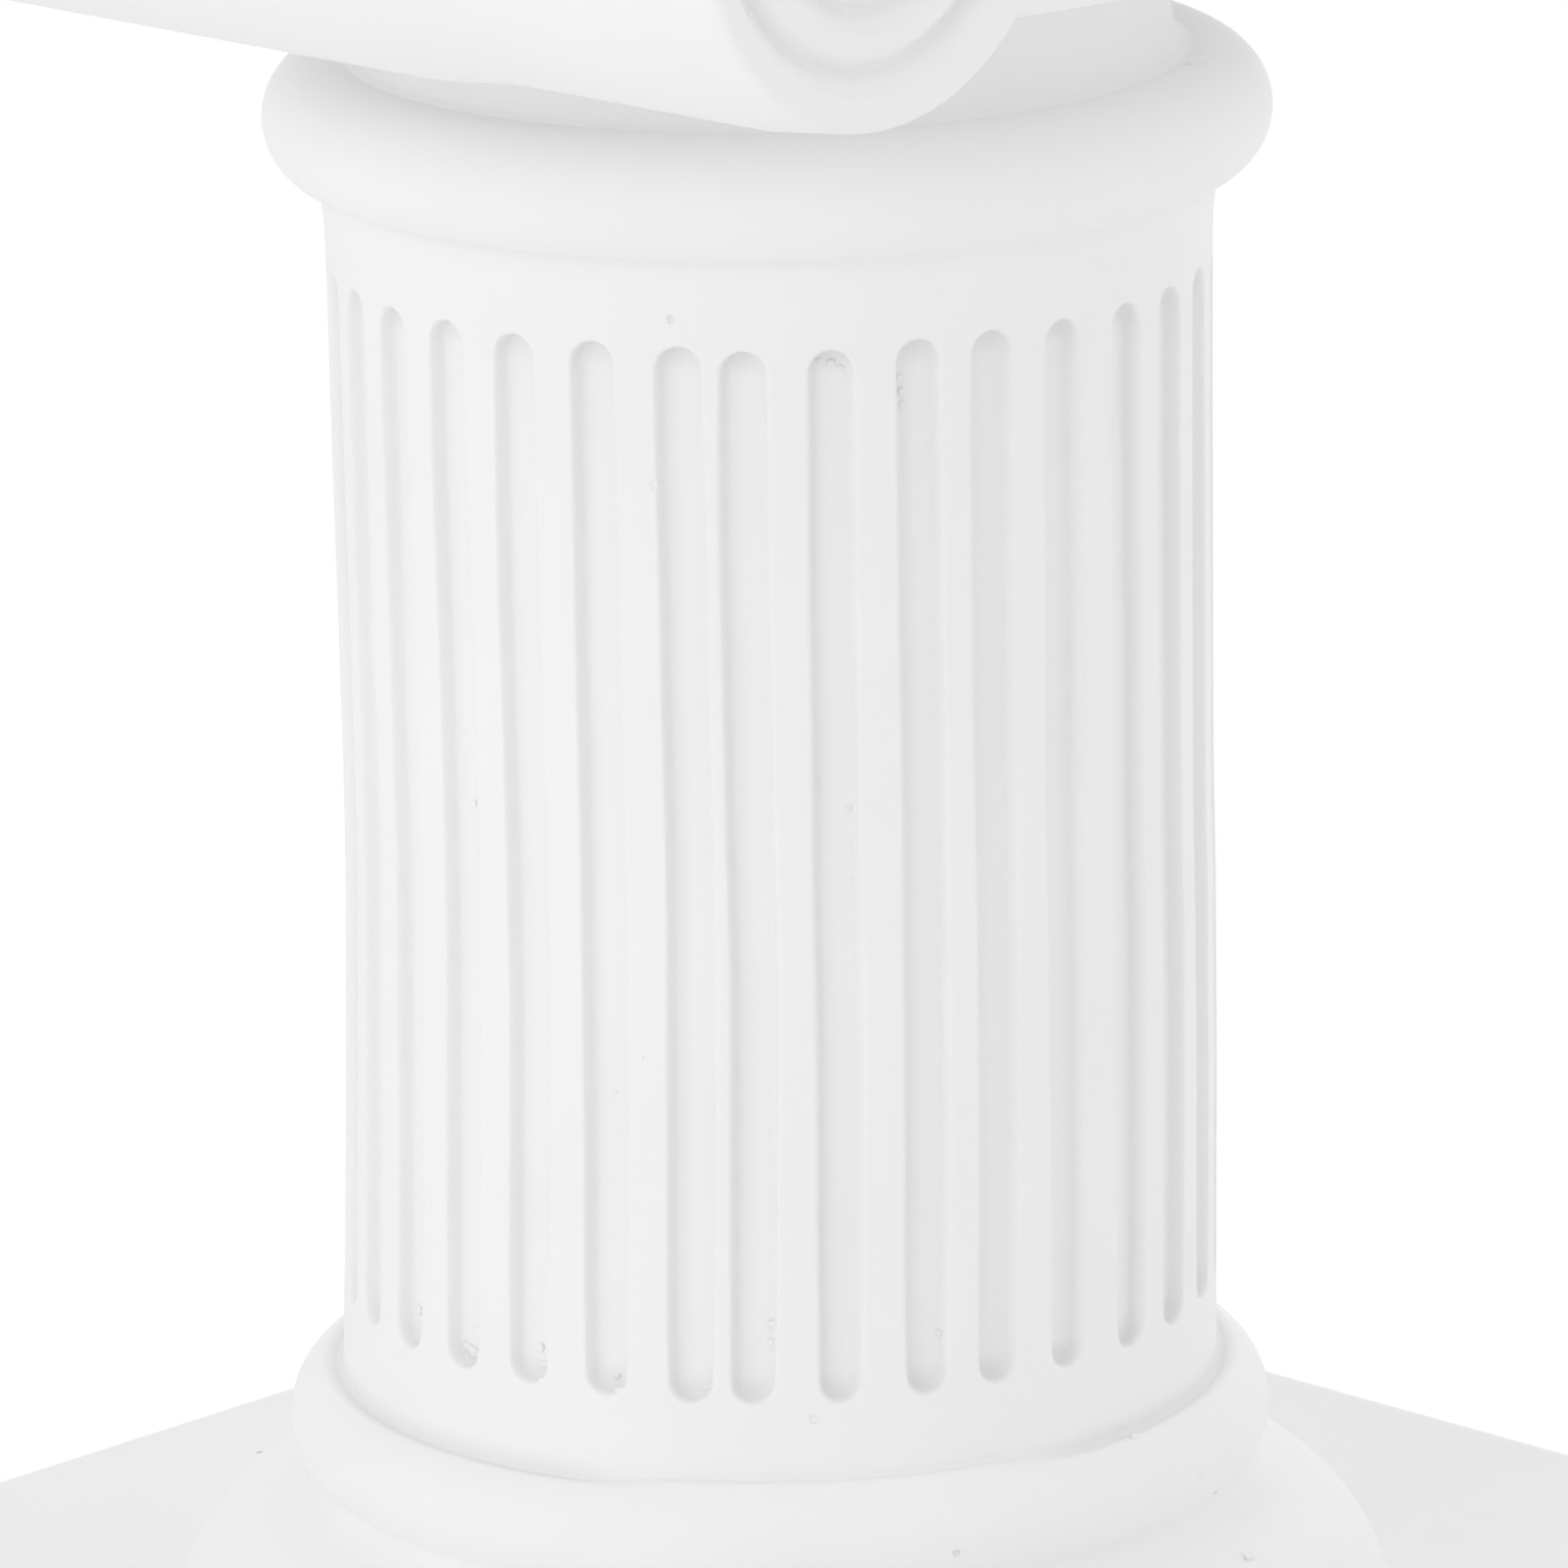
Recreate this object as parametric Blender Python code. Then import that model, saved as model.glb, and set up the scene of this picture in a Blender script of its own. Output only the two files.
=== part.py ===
"""A small cast roman pillar: square plinth, round base, fluted shaft, ring, neck and scrolled capital.

The pillar is one casting, so it is one solid. Metres, +Z up, standing on Z = 0 with its axis on Z.
The scroll faces of the capital look along -Y and +Y, and its two bolsters run along Y.
"""
import math

import bmesh
import bpy
from mathutils import Matrix, Vector

# Plinth
PLINTH_SIDE = 0.1144
PLINTH_HEIGHT = 0.0125
PLINTH_EDGE = 0.0008

# Base, from the plinth up: a big half-round, a small step and a thinner round
FOOT_ROUND_TUBE = 0.0094
FOOT_ROUND_REACH = 0.0357
FOOT_ROUND_RISE = 0.0015
FOOT_ROUND_TOP = math.radians(80)
STEP_HEIGHT = 0.0005
UPPER_ROUND_TUBE = 0.0036
UPPER_ROUND_REACH = 0.0285
UPPER_ROUND_UNDERCUT = math.radians(45)

# The rounds were cast a little off the shaft's axis
BASE_OFFSET_X = -0.00026
BASE_OFFSET_Y = 0.00026

# Shaft, a little thinner in the middle than at its ends, with a small cove at its foot
SHAFT_RADIUS = 0.0250
SHAFT_LENGTH = 0.0699
SHAFT_END_FLARE = 0.00030
FOOT_COVE_REACH = 0.0006
FOOT_COVE_HEIGHT = 0.0008
COVE_HOLLOW = 0.25

# Flutes. They are set out at an even step from the first one, and the last gap is what is left over.
# The wander is how far round the shaft, in metres, a hand-set flute is off its even place
FLUTE_COUNT = 33
FLUTE_STEP = math.radians(11.0)
FLUTE_START = math.radians(-49.1)
FLUTE_WANDER = {27: -0.0005, 28: -0.0006, 29: -0.00045, 30: -0.00035, 31: -0.0002,
                2: 0.0002, 3: -0.0002, 4: -0.00025, 5: 0.00015}
FLUTE_WIDTH = 0.0026
FLUTE_DEPTH = 0.00095
FLUTE_SQUARENESS = 5.0
FLUTE_FOOT_MARGIN = 0.0045
FLUTE_HEAD_MARGIN = 0.0046
SHORT_FLUTES = 2
SHORT_FLUTE_LOSS = 0.00028

# Ring and neck under the capital
RING_TUBE = 0.0036
RING_REACH = 0.0286
SEAM_RADIUS = 0.0237
SEAM_HEIGHT = 0.0002
NECK_RADIUS = 0.0229
NECK_COVE = 0.0010
NECK_HEIGHT = 0.0113

# Capital: scroll faces, bolsters and the block between them
VOLUTE_RADIUS = 0.0134
VOLUTE_SPREAD = 0.03875
VOLUTE_DROP = 0.0037
FACE_TO_AXIS = 0.04675
RIM_FACE_ROUND = 0.0004
RIM_SIDE_ROUND = 0.0012
RIM_TAPER = 0.0052
BOLSTER_RADIUS = 0.01385
BOLSTER_BELLY_RADIUS = 0.0144
BELLY_HALF_LENGTH = 0.0165
BELLY_SLOPE = 0.0075
BAND_SAG = 0.0012

# Scroll line carved in each face
SCROLL_GROOVE = 0.0020
SCROLL_DEPTH = 0.0009
SCROLL_MARGIN = 0.0017
SCROLL_PITCH = 0.0032
SCROLL_TURNS = 2.6
EYE_RADIUS = 0.0021
EYE_RISE = 0.0006
# The eye's rounded face, as shares of its radius and rise
EYE_PROFILE = ((1.0, 0.4), (0.7, 0.85), (0.3, 1.0))

# Abacus
ABACUS_SIDE = 0.0975
ABACUS_HEIGHT = 0.0090
ABACUS_FILLET = 0.0036
ABACUS_SETBACK = 0.0036
ABACUS_EDGE = 0.0005

# How finely round forms are divided
ROUND_SIDES = 60
BOLSTER_SIDES = 24
FOOT_ROUND_STEPS = 6
UPPER_ROUND_STEPS = 6
RING_STEPS = 8
ABACUS_STEPS = 3
FLUTE_SIDES = 8
FLUTE_CAP_RINGS = 2
SCROLL_STEPS_A_TURN = 16
SCROLL_SIDES = 4
EYE_SIDES = 10
SAG_STEPS = 6
OVERLAP = 0.0020
BLOCK_SINK = 0.0005
WELD = 1e-6
FLAT_ANGLE = math.radians(0.1)
SHARP_ANGLE = math.radians(35)

PLASTER_WHITE = (0.86, 0.86, 0.855, 1.0)
PLASTER_ROUGHNESS = 0.85


def seat(tube, offset):
    """Height above a round's centre where a wall that is offset from that centre meets it."""
    return math.sqrt(max(tube * tube - offset * offset, 0.0))


# Levels, each from the one below
PLINTH_TOP = PLINTH_HEIGHT
FOOT_ROUND_CENTRE = FOOT_ROUND_REACH - FOOT_ROUND_TUBE
FOOT_ROUND_Z = PLINTH_TOP + FOOT_ROUND_RISE
UPPER_ROUND_CENTRE = UPPER_ROUND_REACH - UPPER_ROUND_TUBE
UPPER_ROUND_Z = FOOT_ROUND_Z + FOOT_ROUND_TUBE + STEP_HEIGHT + UPPER_ROUND_TUBE
SHAFT_END_RADIUS = SHAFT_RADIUS + SHAFT_END_FLARE
SHAFT_FOOT_RADIUS = SHAFT_END_RADIUS + FOOT_COVE_REACH
SHAFT_FOOT_Z = UPPER_ROUND_Z + seat(UPPER_ROUND_TUBE, SHAFT_FOOT_RADIUS - UPPER_ROUND_CENTRE)
SHAFT_HEAD_Z = SHAFT_FOOT_Z + SHAFT_LENGTH
FLUTE_FOOT_Z = SHAFT_FOOT_Z + FLUTE_FOOT_MARGIN
FLUTE_HEAD_Z = SHAFT_HEAD_Z - FLUTE_HEAD_MARGIN
RING_CENTRE = RING_REACH - RING_TUBE
RING_Z = SHAFT_HEAD_Z + seat(RING_TUBE, SHAFT_END_RADIUS - RING_CENTRE)
SEAM_Z = RING_Z + seat(RING_TUBE, SEAM_RADIUS - RING_CENTRE)
CAPITAL_Z = SEAM_Z + NECK_HEIGHT
VOLUTE_Z = CAPITAL_Z - VOLUTE_DROP + VOLUTE_RADIUS
ABACUS_Z = VOLUTE_Z + VOLUTE_RADIUS
PILLAR_TOP = ABACUS_Z + ABACUS_HEIGHT


def clear_scene():
    """Remove whatever objects the file opened with."""
    for obj in list(bpy.data.objects):
        bpy.data.objects.remove(obj, do_unlink=True)


def add_object(name, bm):
    """Turn a bmesh into a linked object with its faces pointing out."""
    bmesh.ops.recalc_face_normals(bm, faces=bm.faces)
    mesh = bpy.data.meshes.new(name)
    bm.to_mesh(mesh)
    bm.free()
    obj = bpy.data.objects.new(name, mesh)
    bpy.context.scene.collection.objects.link(obj)
    return obj


def arc(centre_r, centre_z, radius, start, end, steps):
    """Points on an arc in the (radius, height) plane, with angles from the outward direction."""
    points = []
    for i in range(steps + 1):
        a = start + (end - start) * i / steps
        points.append((centre_r + radius * math.cos(a), centre_z + radius * math.sin(a)))
    return points


def turned(name, profile, sides):
    """Spin a profile of (radius, height) points about Z and close it on the axis at both ends."""
    bm = bmesh.new()
    points = [(0.0, profile[0][1])] + profile + [(0.0, profile[-1][1])]
    verts = [bm.verts.new((r, 0.0, z)) for r, z in points]
    edges = [bm.edges.new(pair) for pair in zip(verts, verts[1:])]
    bmesh.ops.spin(bm, geom=verts + edges, cent=(0, 0, 0), axis=(0, 0, 1),
                   angle=math.tau, steps=sides, use_merge=True)
    bmesh.ops.remove_doubles(bm, verts=bm.verts, dist=WELD)
    centres = [v for v in bm.verts if v.co.xy.length < WELD]
    bmesh.ops.dissolve_verts(bm, verts=centres)
    return add_object(name, bm)


def slab(name, side, low, high, edge):
    """A square slab between two heights with softened edges."""
    bm = bmesh.new()
    size = Matrix.Diagonal((side, side, high - low, 1.0))
    place = Matrix.Translation((0, 0, (low + high) / 2))
    bmesh.ops.create_cube(bm, size=1.0, matrix=place @ size)
    bmesh.ops.bevel(bm, geom=list(bm.edges), offset=edge, segments=2, profile=0.5, affect='EDGES')
    return add_object(name, bm)


def extruded(name, outline, y_from, y_to):
    """Extrude a closed (x, z) outline along Y."""
    bm = bmesh.new()
    verts = [bm.verts.new((x, y_from, z)) for x, z in outline]
    face = bm.faces.new(verts)
    result = bmesh.ops.extrude_face_region(bm, geom=[face])
    moved = [item for item in result["geom"] if isinstance(item, bmesh.types.BMVert)]
    bmesh.ops.translate(bm, verts=moved, vec=(0, y_to - y_from, 0))
    return add_object(name, bm)


def tube_rings(rings, bm=None):
    """Skin a list of equal rings of points and cap both ends, in the bmesh given or a new one."""
    if bm is None:
        bm = bmesh.new()
    loops = [[bm.verts.new(p) for p in ring] for ring in rings]
    count = len(loops[0])
    for low, high in zip(loops, loops[1:]):
        for i in range(count):
            j = (i + 1) % count
            bm.faces.new((low[i], low[j], high[j], high[i]))
    bm.faces.new(list(reversed(loops[0])))
    bm.faces.new(loops[-1])
    return bm


def apply_boolean(target, tool, operation):
    """Union or cut one object by another for good, and remove the tool."""
    modifier = target.modifiers.new(operation.title(), 'BOOLEAN')
    modifier.object = tool
    modifier.operation = operation
    modifier.solver = 'EXACT'
    depsgraph = bpy.context.evaluated_depsgraph_get()
    mesh = bpy.data.meshes.new_from_object(target.evaluated_get(depsgraph))
    target.modifiers.remove(modifier)
    bm = bmesh.new()
    bm.from_mesh(mesh)
    bmesh.ops.remove_doubles(bm, verts=bm.verts, dist=WELD)
    bmesh.ops.dissolve_limit(bm, angle_limit=FLAT_ANGLE, verts=bm.verts, edges=bm.edges)
    bm.to_mesh(mesh)
    bm.free()
    target.data = mesh
    bpy.data.objects.remove(tool, do_unlink=True)


def column_profile():
    """The turned line from inside the plinth up to inside the capital."""
    step_radius = UPPER_ROUND_CENTRE + UPPER_ROUND_TUBE * math.cos(UPPER_ROUND_UNDERCUT)
    upper_top = math.asin((SHAFT_FOOT_Z - UPPER_ROUND_Z) / UPPER_ROUND_TUBE)
    ring_low = -math.asin((RING_Z - SHAFT_HEAD_Z) / RING_TUBE)
    ring_high = math.pi - math.asin((SEAM_Z - RING_Z) / RING_TUBE)
    profile = [(FOOT_ROUND_REACH, PLINTH_TOP - OVERLAP)]
    profile += arc(FOOT_ROUND_CENTRE, FOOT_ROUND_Z, FOOT_ROUND_TUBE, 0, FOOT_ROUND_TOP, FOOT_ROUND_STEPS)
    profile += [(step_radius, FOOT_ROUND_Z + FOOT_ROUND_TUBE + STEP_HEIGHT / 2)]
    profile += arc(UPPER_ROUND_CENTRE, UPPER_ROUND_Z, UPPER_ROUND_TUBE,
                   -UPPER_ROUND_UNDERCUT, upper_top, UPPER_ROUND_STEPS)
    profile += [(SHAFT_END_RADIUS + FOOT_COVE_REACH * COVE_HOLLOW,
                 SHAFT_FOOT_Z + FOOT_COVE_HEIGHT * COVE_HOLLOW),
                (SHAFT_END_RADIUS, SHAFT_FOOT_Z + FOOT_COVE_HEIGHT),
                (SHAFT_RADIUS, (SHAFT_FOOT_Z + SHAFT_HEAD_Z) / 2)]
    profile += arc(RING_CENTRE, RING_Z, RING_TUBE, ring_low, ring_high, RING_STEPS)
    profile += [(SEAM_RADIUS, SEAM_Z + SEAM_HEIGHT),
                (NECK_RADIUS + NECK_COVE * COVE_HOLLOW, SEAM_Z + SEAM_HEIGHT + NECK_COVE * COVE_HOLLOW),
                (NECK_RADIUS, SEAM_Z + SEAM_HEIGHT + NECK_COVE),
                (NECK_RADIUS, CAPITAL_Z + OVERLAP)]
    return profile


def column():
    """The turned base, shaft, ring and neck, with the rounds of the base moved off the shaft's axis."""
    obj = turned("pillar", column_profile(), ROUND_SIDES)
    for vertex in obj.data.vertices:
        if vertex.co.z < SHAFT_FOOT_Z - WELD:
            vertex.co.x += BASE_OFFSET_X
            vertex.co.y += BASE_OFFSET_Y
    return obj


def squared(share):
    """A coordinate of a rounded square that is nearly flat on each side, from a sine or cosine."""
    return math.copysign(abs(share) ** (2 / FLUTE_SQUARENESS), share)


def flute_rod(index):
    """The rings of a rod standing half sunk where one flute is cut: flat floor, steep walls, round ends."""
    half = FLUTE_WIDTH / 2
    surface = (SHAFT_RADIUS + SHAFT_END_RADIUS) / 2
    angle = FLUTE_START + index * FLUTE_STEP + FLUTE_WANDER.get(index, 0.0) / SHAFT_RADIUS
    low = FLUTE_FOOT_Z + half
    high = FLUTE_HEAD_Z - half
    if index < SHORT_FLUTES:
        high -= SHORT_FLUTE_LOSS
    cap = []
    for i in range(1, FLUTE_CAP_RINGS + 1):
        # The last ring stops half a step short of the tip
        a = math.radians(90) * i / (FLUTE_CAP_RINGS + 0.5)
        depth = FLUTE_DEPTH * (1 - math.sin(a) ** FLUTE_SQUARENESS) ** (1 / FLUTE_SQUARENESS)
        cap.append((half * math.sin(a), half * math.cos(a), depth))
    levels = [(low - away, reach, depth) for away, reach, depth in reversed(cap)]
    levels += [(low, half, FLUTE_DEPTH), (high, half, FLUTE_DEPTH)]
    levels += [(high + away, reach, depth) for away, reach, depth in cap]
    outward = Vector((math.sin(angle), -math.cos(angle), 0))
    across = Vector((math.cos(angle), math.sin(angle), 0))
    rings = []
    for z, reach, depth in levels:
        ring = []
        for i in range(FLUTE_SIDES):
            turn = math.tau * (i + 0.5) / FLUTE_SIDES
            out = surface + depth * squared(math.cos(turn))
            ring.append(outward * out + across * reach * squared(math.sin(turn)) + Vector((0, 0, z)))
        rings.append(ring)
    return rings


def flute_cutters():
    """All the flutes' rods, which stand clear of each other, as one cutter."""
    bm = bmesh.new()
    for i in range(FLUTE_COUNT):
        tube_rings(flute_rod(i), bm)
    return add_object("flute_cutters", bm)


def bolster(name, x):
    """One bolster along Y, a shallow barrel whose ends are the volute faces."""
    half = [(BOLSTER_BELLY_RADIUS, BELLY_HALF_LENGTH),
            (BOLSTER_RADIUS, BELLY_HALF_LENGTH + BELLY_SLOPE),
            (BOLSTER_RADIUS, FACE_TO_AXIS - RIM_TAPER),
            (VOLUTE_RADIUS, FACE_TO_AXIS - RIM_SIDE_ROUND),
            (VOLUTE_RADIUS - RIM_FACE_ROUND / 3, FACE_TO_AXIS - RIM_SIDE_ROUND / 3),
            (VOLUTE_RADIUS - RIM_FACE_ROUND, FACE_TO_AXIS)]
    profile = [(r, -s) for r, s in reversed(half)] + half
    obj = turned(name, profile, BOLSTER_SIDES)
    turn = Matrix.Rotation(math.radians(90), 4, 'X')
    obj.data.transform(Matrix.Translation((x, 0, VOLUTE_Z)) @ turn)
    return obj


def capital_block():
    """The block between the bolsters: flush faces, flat top and a lower edge that sags to its middle."""
    half = VOLUTE_SPREAD
    outline = [(half, ABACUS_Z + BLOCK_SINK), (-half, ABACUS_Z + BLOCK_SINK)]
    for i in range(SAG_STEPS + 1):
        share = -1 + 2 * i / SAG_STEPS
        outline.append((half * share, CAPITAL_Z + BAND_SAG * share * share))
    return extruded("capital_block", outline, -FACE_TO_AXIS, FACE_TO_AXIS)


def scroll_path():
    """The scroll line on a face, from one eye out, along under the abacus and into the other eye."""
    steps = int(SCROLL_STEPS_A_TURN * SCROLL_TURNS)
    spiral = []
    for i in range(steps + 1):
        turn = math.tau * SCROLL_TURNS * i / steps
        radius = VOLUTE_RADIUS - SCROLL_MARGIN - SCROLL_PITCH * turn / math.tau
        a = math.radians(90) + turn
        spiral.append((-VOLUTE_SPREAD + radius * math.cos(a), VOLUTE_Z + radius * math.sin(a)))
    left = list(reversed(spiral))
    right = [(-x, z) for x, z in spiral]
    return left + right


def scroll_cutter(name, face_y):
    """A rod along the scroll line, half sunk in the face, that cuts a groove with sloping sides."""
    path = scroll_path()
    radius = SCROLL_GROOVE / 2
    rings = []
    for i, (x, z) in enumerate(path):
        before = path[max(i - 1, 0)]
        after = path[min(i + 1, len(path) - 1)]
        along = Vector((after[0] - before[0], 0, after[1] - before[1])).normalized()
        across = Vector((along.z, 0, -along.x))
        ring = []
        for k in range(SCROLL_SIDES):
            a = math.tau * k / SCROLL_SIDES
            offset = across * radius * math.cos(a) + Vector((0, SCROLL_DEPTH * math.sin(a), 0))
            ring.append(Vector((x, face_y, z)) + offset)
        rings.append(ring)
    return add_object(name, tube_rings(rings))


def eye(name, x, face_y):
    """The round button in the middle of a volute."""
    outward = math.copysign(1.0, face_y)
    profile = [(EYE_RADIUS, -OVERLAP)]
    profile += [(EYE_RADIUS * across, EYE_RISE * up) for across, up in EYE_PROFILE]
    obj = turned(name, profile, EYE_SIDES)
    turn = Matrix.Rotation(math.radians(-90) * outward, 4, 'X')
    obj.data.transform(Matrix.Translation((x, face_y, VOLUTE_Z)) @ turn)
    return obj


def abacus():
    """The top slab: a fillet above and a quarter-hollow that draws in below it."""
    half = ABACUS_SIDE / 2
    hollow = ABACUS_HEIGHT - ABACUS_FILLET
    levels = [(half - ABACUS_SETBACK, ABACUS_Z)]
    for i in range(1, ABACUS_STEPS + 1):
        a = math.radians(90) * i / ABACUS_STEPS
        levels.append((half - ABACUS_SETBACK * math.cos(a), ABACUS_Z + hollow * math.sin(a)))
    levels.append((half, PILLAR_TOP - ABACUS_EDGE))
    levels.append((half - ABACUS_EDGE, PILLAR_TOP))
    rings = []
    for reach, z in levels:
        rings.append([(-reach, -reach, z), (reach, -reach, z), (reach, reach, z), (-reach, reach, z)])
    return add_object("abacus", tube_rings(rings))


def plaster():
    """Matte white cast material."""
    material = bpy.data.materials.new("plaster")
    material.use_nodes = True
    shader = material.node_tree.nodes["Principled BSDF"]
    shader.inputs["Base Color"].default_value = PLASTER_WHITE
    shader.inputs["Roughness"].default_value = PLASTER_ROUGHNESS
    shader.inputs["Metallic"].default_value = 0.0
    return material


def build_pillar():
    """Join every form into one closed casting, then cut the flutes and the scroll lines."""
    pillar = column()
    apply_boolean(pillar, flute_cutters(), 'DIFFERENCE')
    capital = capital_block()
    for side in (-1, 1):
        apply_boolean(capital, bolster(f"bolster_{side}", side * VOLUTE_SPREAD), 'UNION')
    for side in (-1, 1):
        face_y = side * FACE_TO_AXIS
        apply_boolean(capital, scroll_cutter(f"scroll_cutter_{side}", face_y), 'DIFFERENCE')
        for hand in (-1, 1):
            apply_boolean(capital, eye(f"eye_{side}_{hand}", hand * VOLUTE_SPREAD, face_y), 'UNION')
    apply_boolean(capital, abacus(), 'UNION')
    apply_boolean(pillar, capital, 'UNION')
    apply_boolean(pillar, slab("plinth", PLINTH_SIDE, 0.0, PLINTH_TOP, PLINTH_EDGE), 'UNION')
    pillar.data.materials.clear()
    pillar.data.materials.append(plaster())
    pillar.data.shade_smooth()
    pillar.data.set_sharp_from_angle(angle=SHARP_ANGLE)
    return pillar


clear_scene()
build_pillar()
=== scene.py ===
"""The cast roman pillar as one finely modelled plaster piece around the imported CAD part. Metres, +Z up."""
import math

import bmesh
import bpy
import numpy as np
from mathutils import Matrix, Vector
from mathutils.geometry import delaunay_2d_cdt


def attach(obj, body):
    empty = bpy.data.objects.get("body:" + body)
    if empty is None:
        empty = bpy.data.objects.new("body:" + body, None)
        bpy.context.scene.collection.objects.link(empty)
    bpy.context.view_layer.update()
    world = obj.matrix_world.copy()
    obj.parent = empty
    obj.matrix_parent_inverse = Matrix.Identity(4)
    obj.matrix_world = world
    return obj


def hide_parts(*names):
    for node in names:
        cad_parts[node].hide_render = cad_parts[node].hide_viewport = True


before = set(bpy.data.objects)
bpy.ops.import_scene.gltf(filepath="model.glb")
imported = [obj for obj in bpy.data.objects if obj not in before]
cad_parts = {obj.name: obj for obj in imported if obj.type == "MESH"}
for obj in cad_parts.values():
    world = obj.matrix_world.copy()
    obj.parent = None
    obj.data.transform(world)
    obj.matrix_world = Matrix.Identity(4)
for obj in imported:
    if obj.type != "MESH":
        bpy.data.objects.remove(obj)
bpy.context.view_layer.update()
MM = 0.001

# Sizes of the CAD part, in millimetres
PLINTH_SIDE = 114.4
PLINTH_TOP = 12.5
PLINTH_EDGE = 0.8
FOOT_TUBE = 9.4
FOOT_CENTRE = 26.3
FOOT_Z = 14.0
UPPER_TUBE = 3.6
UPPER_CENTRE = 24.9
UPPER_Z = 27.5
BASE_OFFSET = (-0.26, 0.26)
# The share of that offset at each height: the shaft wavers a little on its way up
WAVER_Z = (29, 35, 42, 49, 60, 75, 88)
WAVER = (1.0, 0.7, 0.35, 0.0, -0.3, -0.15, 0.0)
SHAFT_RADIUS = 25.0
SHAFT_FOOT_END = 25.4
SHAFT_HEAD_END = 25.2
SHAFT_FOOT_Z = 30.958
SHAFT_HEAD_Z = 100.858
RING_TUBE = 3.6
RING_CENTRE = 25.0
RING_Z = 104.446
SEAM_RADIUS = 23.7
SEAM_Z = 107.803
NECK_RADIUS = 22.9
CAPITAL_Z = 119.103
VOLUTE_Z = 128.803
ABACUS_Z = 142.203
TOP_Z = 151.2029
VOLUTE_RADIUS = 13.4
VOLUTE_SPREAD = 38.75
FACE_Y = 46.75
BAND_SAG = 1.2
ABACUS_HALF = 48.75
ABACUS_FILLET = 3.6
ABACUS_SETBACK = 3.6
ABACUS_EDGE = 0.5
OVERLAP = 2.0
WELD = 0.002

# Profiles of the finer forms, as (radius, height), with angles in degrees
FOOT_ROUND_TOP = 72
BASE_GROOVE = ((28.4, 23.35), (27.8, 23.9), (27.58, 24.5))
UPPER_ROUND = (-42, 62)
SHAFT_FOOT_CURVE = ((26.25, 30.62), (25.9, 30.50), (25.6, 30.52), (25.46, 30.75), (25.42, 31.2), (25.4, 32.2))
SHAFT_HEAD_CURVE = ((25.22, 98.6), (25.4, 99.9), (25.75, 100.7), (26.3, 101.15))
RING_START = -62
RING_STOP = 5
# The bead over the ring is measured from the seam, and the hollow over it from the neck's radius
BEAD = ((0.25, 0.18), (0.1, 0.30), (-0.1, 0.33), (-0.25, 0.45))
NECK_HOLLOW = ((0.25, 1.0), (0.08, 1.7), (0.0, 2.6))
LOW_BLUR = 0.16
HIGH_BLUR = 0.09
# Bolsters: radius at the belly and on the plain part, and (start, length) of each change along Y
BELLY_RADIUS = 14.4
PLAIN_RADIUS = 13.85
BELLY_FADE = (16.5, 7.5)
FACE_FLARE = (5.2, 4.0)
FACE_EDGE = 1.2
FACE_EDGE_DRAWN = 0.55

# Flutes, set out as in the CAD part. The wander is how far round the shaft one is off its even place
FLUTE_COUNT = 33
FLUTE_STEP = math.radians(11.0)
FLUTE_START = math.radians(-49.1)
FLUTE_WANDER = {27: -0.5, 28: -0.6, 29: -0.45, 30: -0.35, 31: -0.2, 2: 0.2, 3: -0.2, 4: -0.25, 5: 0.15}
FLUTE_WIDTH = 2.6
FLUTE_DEPTH = 0.95
FLUTE_SQUARENESS = 5.0
FLUTE_FOOT_Z = 35.458
FLUTE_HEAD_Z = 96.258
SHORT_FLUTES = 2
SHORT_LOSS = 0.28
FLUTE_EDGE = 0.06
FOOT_NARROWING = 0.12
HEAD_NARROWING = 0.07
# Half the columns of points of a flute, as distances from its middle, and the steps round its ends
COLUMN_OFFSETS = (0.25, 0.70, 0.97, 1.12, 1.21, 1.27, 1.32, 1.38, 1.46, 1.62)
END_STEPS = 12
LAND_STEPS = 6
END_MARGIN = 0.6
LONG_ROW_STEP = 2.4

# The seam groove at the shaft's foot is filled over the front of the casting
FRONT_ANGLE = -38.5
FRONT_FILLED = 18.0
FRONT_FADE = 18.0
SEAM_GROOVE = (25.7, 30.3)
SEAM_GROOVE_SIZE = 0.7
SEAM_FILL = 0.75

# Casting flaws. On the shaft they are (flute, distance across, height over the flute's foot, size)
BUMPS = ((29, -0.6, 1.0, 0.30), (29, 0.0, 0.7, 0.46), (29, 0.5, 0.6, 0.36), (29, 0.7, 1.2, 0.30),
         (29, 0.3, 2.0, 0.34), (29, -0.7, 0.9, 0.30), (29, 0.2, 33.0, 0.22), (28, -0.4, 2.0, 0.30),
         (28, 0.0, 1.2, 0.25), (30, 0.2, 2.0, 0.28), (30, 0.6, 1.0, 0.30), (30, 0.9, 0.3, 0.26),
         (30, 1.0, 1.4, 0.20), (31, 0.8, 0.3, 0.30), (31, 0.3, 1.0, 0.22), (31, 0.1, 17.6, 0.16),
         (32, 0.7, 0.6, 0.22), (32, 1.1, 1.1, 0.26), (0, 1.15, 4.5, 0.34), (0, 1.1, 3.4, 0.34),
         (2, 1.1, 3.3, 0.32), (1, -0.6, 59.8, 0.20), (1, 0.15, 59.6, 0.25), (1, 0.7, 59.3, 0.20),
         (2, -1.0, 58.5, 0.24), (2, -0.9, 57.7, 0.26), (2, -0.8, 57.0, 0.22), (1, 0.8, 34.2, 0.20),
         (1, 1.0, 30.1, 0.18))
PITS = ((32, -1.5, 52.9, 0.28), (32, -0.4, 62.3, 0.24), (1, -1.5, -0.8, 0.26), (31, 2.3, 20.0, 0.16))
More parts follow.
